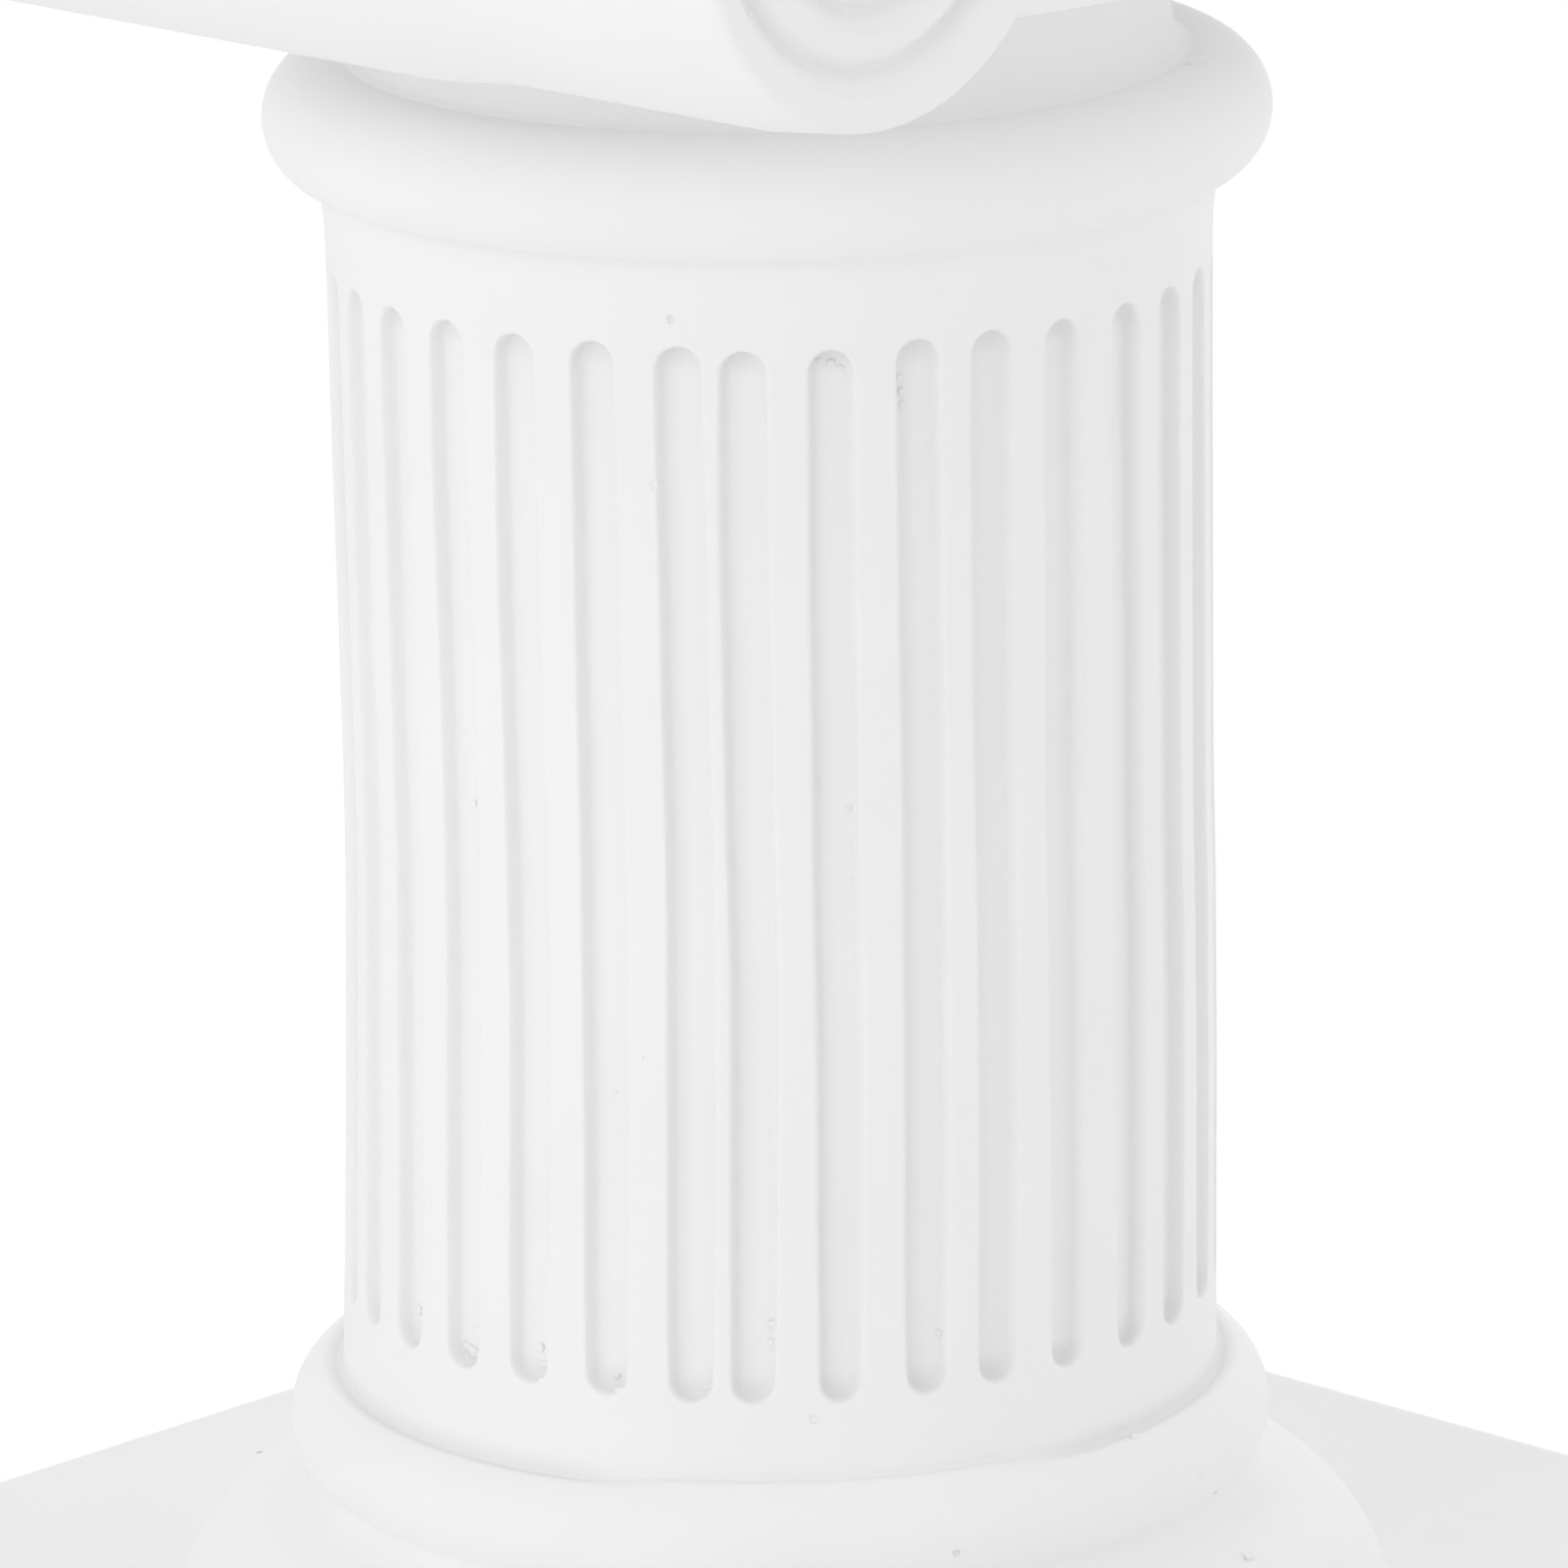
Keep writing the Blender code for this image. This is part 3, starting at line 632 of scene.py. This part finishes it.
def plaster():
    """Matte white cast plaster: faint clouds in its white, painted shade darkening its narrow hollows, fine
    grain and a soft unevenness.
    """
    material = bpy.data.materials.new("plaster")
    material.use_nodes = True
    nodes = material.node_tree.nodes
    links = material.node_tree.links
    shader = nodes["Principled BSDF"]
    shader.inputs["Roughness"].default_value = 0.85
    shader.inputs["Specular IOR Level"].default_value = 0.25
    where = nodes.new("ShaderNodeTexCoord")
    clouds = nodes.new("ShaderNodeTexNoise")
    clouds.inputs["Scale"].default_value = CLOUD_SCALE
    clouds.inputs["Detail"].default_value = 4.0
    links.new(where.outputs["Object"], clouds.inputs["Vector"])
    tint = nodes.new("ShaderNodeMix")
    tint.data_type = 'RGBA'
    tint.inputs["A"].default_value = DARK_WHITE
    tint.inputs["B"].default_value = LIGHT_WHITE
    links.new(clouds.outputs["Fac"], tint.inputs["Factor"])
    # Painted shade: the white is darkened where the surface is shut in within a short reach, fully on the
    # shaft and less from the ring upwards
    crevice_shade = nodes.new("ShaderNodeAmbientOcclusion")
    crevice_shade.samples = CREVICE_SHADE_RAYS
    crevice_shade.inputs["Distance"].default_value = CREVICE_SHADE_REACH * MM
    painted_shade_tone = nodes.new("ShaderNodeMapRange")
    painted_shade_tone.inputs["From Min"].default_value = CREVICE_SHADE_SHUT
    painted_shade_tone.inputs["From Max"].default_value = CREVICE_SHADE_OPEN
    painted_shade_tone.inputs["To Min"].default_value = CREVICE_SHADE_TONE
    painted_shade_tone.inputs["To Max"].default_value = 1.0
    links.new(crevice_shade.outputs["AO"], painted_shade_tone.inputs["Value"])
    shade = nodes.new("ShaderNodeMix")
    shade.data_type = 'RGBA'
    shade.blend_type = 'MULTIPLY'
    height = nodes.new("ShaderNodeSeparateXYZ")
    links.new(where.outputs["Object"], height.inputs["Vector"])
    painted_shade_share = nodes.new("ShaderNodeMapRange")
    painted_shade_share.inputs["From Min"].default_value = RING_FOOT_Z * MM
    painted_shade_share.inputs["From Max"].default_value = (RING_FOOT_Z + RING_FOOT_FADE) * MM
    painted_shade_share.inputs["To Min"].default_value = 1.0
    painted_shade_share.inputs["To Max"].default_value = HEAD_CREVICE_SHADE
    links.new(height.outputs["Z"], painted_shade_share.inputs["Value"])
    links.new(painted_shade_share.outputs["Result"], shade.inputs["Factor"])
    links.new(tint.outputs["Result"], shade.inputs["A"])
    links.new(painted_shade_tone.outputs["Result"], shade.inputs["B"])
    links.new(shade.outputs["Result"], shader.inputs["Base Color"])
    grain = nodes.new("ShaderNodeTexNoise")
    grain.inputs["Scale"].default_value = GRAIN_SCALE
    grain.inputs["Detail"].default_value = 3.0
    links.new(where.outputs["Object"], grain.inputs["Vector"])
    uneven = nodes.new("ShaderNodeTexNoise")
    uneven.inputs["Scale"].default_value = UNEVEN_SCALE
    uneven.inputs["Detail"].default_value = 2.0
    links.new(where.outputs["Object"], uneven.inputs["Vector"])
    soft = nodes.new("ShaderNodeBump")
    soft.inputs["Strength"].default_value = 0.25
    soft.inputs["Distance"].default_value = UNEVEN_HEIGHT
    links.new(uneven.outputs["Fac"], soft.inputs["Height"])
    fine = nodes.new("ShaderNodeBump")
    fine.inputs["Strength"].default_value = 0.15
    fine.inputs["Distance"].default_value = GRAIN_HEIGHT
    links.new(grain.outputs["Fac"], fine.inputs["Height"])
    links.new(soft.outputs["Normal"], fine.inputs["Normal"])
    links.new(fine.outputs["Normal"], shader.inputs["Normal"])
    return material


def build_casting():
    """All forms united into the one casting."""
    casting = column()
    casting.name = "pillar_casting"
    join_all(casting, [capital(), abacus(), plinth()] + flaws("bump", BUMPS, ROUND_BUMPS, True), 'UNION')
    join_all(casting, flaws("pit", PITS, ROUND_PITS, False), 'DIFFERENCE')
    mesh = casting.data
    mesh.materials.clear()
    mesh.materials.append(plaster())
    mesh.shade_smooth()
    mesh.set_sharp_from_angle(angle=math.radians(SHARP_ANGLE))
    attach(casting, "root")
    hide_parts("pillar")
    return casting


def white_to_camera(tree, shader, output):
    """Show plain white to the camera, and the shader given to every other ray."""
    seen = tree.nodes.new("ShaderNodeLightPath")
    kind = "ShaderNodeEmission" if output.name == "Material Output" else "ShaderNodeBackground"
    white = tree.nodes.new(kind)
    white.inputs["Strength"].default_value = 1.0
    white.inputs["Color"].default_value = (1, 1, 1, 1)
    mix = tree.nodes.new("ShaderNodeMixShader")
    tree.links.new(seen.outputs["Is Camera Ray"], mix.inputs["Fac"])
    tree.links.new(shader.outputs[0], mix.inputs[1])
    tree.links.new(white.outputs[0], mix.inputs[2])
    tree.links.new(mix.outputs[0], output.inputs["Surface"])


def floor():
    """A wide pale floor, over-lit to plain white in the picture as in the photo."""
    mesh = bpy.data.meshes.new("floor")
    size = FLOOR_HALF
    corners = [(-size, -size, 0), (size, -size, 0), (size, size, 0), (-size, size, 0)]
    mesh.from_pydata(corners, [], [(0, 1, 2, 3)])
    obj = bpy.data.objects.new("floor", mesh)
    bpy.context.scene.collection.objects.link(obj)
    material = bpy.data.materials.new("floor_white")
    material.use_nodes = True
    nodes = material.node_tree.nodes
    shader = nodes["Principled BSDF"]
    shader.inputs["Base Color"].default_value = (0.75, 0.75, 0.75, 1)
    shader.inputs["Roughness"].default_value = 1.0
    shader.inputs["Emission Color"].default_value = (1, 1, 1, 1)
    shader.inputs["Emission Strength"].default_value = FLOOR_GLOW
    white_to_camera(material.node_tree, shader, nodes["Material Output"])
    mesh.materials.append(material)
    return obj


def studio():
    """Even white light from all round, with soft boxes round the part, and no low one straight in front."""
    world = bpy.data.worlds.new("studio")
    world.use_nodes = True
    shade = world.node_tree.nodes["Background"]
    shade.inputs["Color"].default_value = (1, 1, 1, 1)
    shade.inputs["Strength"].default_value = SURROUND_LIGHT
    white_to_camera(world.node_tree, shade, world.node_tree.nodes["World Output"])
    bpy.context.scene.world = world
    for i, (side, height, watts) in enumerate(SOFT_BOXES):
        lamp = bpy.data.lights.new(f"soft_box_{i}", 'AREA')
        lamp.shape = 'DISK'
        lamp.size = SOFT_BOX_SIZE
        lamp.energy = watts
        obj = bpy.data.objects.new(f"soft_box_{i}", lamp)
        turn = math.radians(-90 + CAMERA_TURN + side)
        rise = math.radians(height)
        away = Vector((math.cos(turn) * math.cos(rise), math.sin(turn) * math.cos(rise), math.sin(rise)))
        obj.location = Vector((0, 0, BOX_AIM_Z)) + away * SOFT_BOX_DISTANCE
        obj.rotation_euler = (-away).to_track_quat('-Z', 'Y').to_euler()
        bpy.context.scene.collection.objects.link(obj)
    view = bpy.context.scene.view_settings
    view.view_transform = 'Standard'
    view.look = 'None'
    view.exposure = 0.0
    view.gamma = 1.0


def camera():
    """The photo's camera: a long lens, 15 degrees above the level, looking along a corner of the plinth."""
    turn = Matrix.Rotation(math.radians(CAMERA_TURN), 3, 'Z')
    data = bpy.data.cameras.new("photo_camera")
    data.sensor_width = 36.0
    data.lens = CAMERA_LENS
    data.clip_start = 0.01
    data.clip_end = 20.0
    obj = bpy.data.objects.new("photo_camera", data)
    right = turn @ Vector(CAMERA_RIGHT)
    up = turn @ Vector(CAMERA_UP)
    ahead = turn @ Vector(CAMERA_AHEAD)
    spot = turn @ Vector(CAMERA_SPOT) * (SHAFT_RADIUS * MM) + Vector((0, 0, FLUTE_FOOT_Z * MM))
    matrix = Matrix.Identity(4)
    for i in range(3):
        matrix[i][0] = right[i]
        matrix[i][1] = up[i]
        matrix[i][2] = -ahead[i]
        matrix[i][3] = spot[i]
    obj.matrix_world = matrix
    bpy.context.scene.collection.objects.link(obj)
    bpy.context.scene.camera = obj


build_casting()
floor()
studio()
camera()
